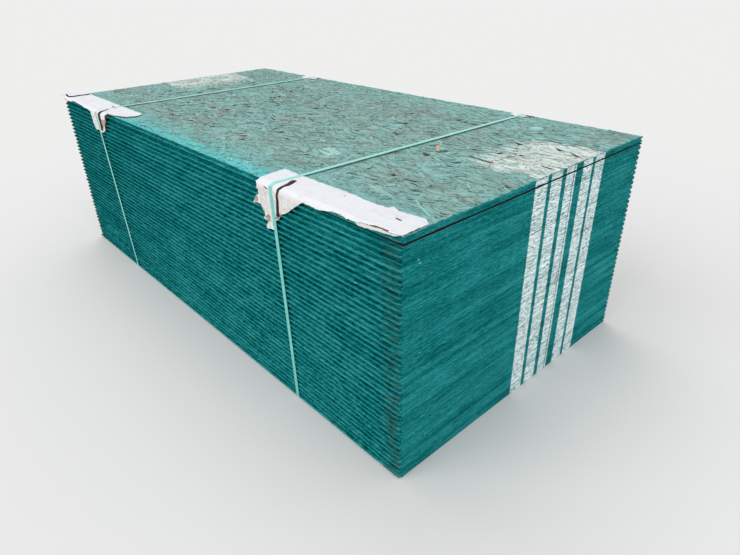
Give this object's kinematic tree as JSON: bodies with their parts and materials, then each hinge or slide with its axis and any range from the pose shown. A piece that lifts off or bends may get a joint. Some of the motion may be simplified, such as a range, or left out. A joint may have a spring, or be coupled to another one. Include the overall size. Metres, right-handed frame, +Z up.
{
  "type": "stack of OSB panels",
  "caption": "Strapped stack of tongue-and-groove oriented strand board floor panels, with sealed green edges, white edge stripes and torn paper edge boards.",
  "frame": {"origin": "centre of the underside of the stack's box, on the ground", "axes": "+X along the panels' length, -Y towards the tongues, +Z up"},
  "size_m": [2.4872, 1.2264, 0.7954],
  "materials": {
    "osb_panel": "green edge sealer over strand board, weathered top",
    "strap": "smooth polyester strap",
    "edge_board": "white paper over brown plies, torn"
  },
  "bodies": {
    "root": {"panel_01": "osb_panel", "panel_02": "osb_panel", "panel_03": "osb_panel", "panel_04": "osb_panel", "panel_05": "osb_panel", "panel_06": "osb_panel", "panel_07": "osb_panel", "panel_08": "osb_panel", "panel_09": "osb_panel", "panel_10": "osb_panel", "panel_11": "osb_panel", "panel_12": "osb_panel", "panel_13": "osb_panel", "panel_14": "osb_panel", "panel_15": "osb_panel", "panel_16": "osb_panel", "panel_17": "osb_panel", "panel_18": "osb_panel", "panel_19": "osb_panel", "panel_20": "osb_panel", "panel_21": "osb_panel", "panel_22": "osb_panel", "panel_23": "osb_panel", "panel_24": "osb_panel", "panel_25": "osb_panel", "panel_26": "osb_panel", "panel_27": "osb_panel", "panel_28": "osb_panel", "panel_29": "osb_panel", "panel_30": "osb_panel", "panel_31": "osb_panel", "panel_32": "osb_panel", "panel_33": "osb_panel", "panel_34": "osb_panel", "panel_35": "osb_panel", "panel_36": "osb_panel", "panel_37": "osb_panel", "panel_38": "osb_panel", "panel_39": "osb_panel", "panel_40": "osb_panel", "panel_41": "osb_panel", "panel_42": "osb_panel", "strap_near": "strap", "strap_far": "strap", "edge_board_front_near": "edge_board", "edge_board_front_far": "edge_board", "edge_board_back_near": "edge_board", "edge_board_back_far": "edge_board"}
  },
  "joints": []
}
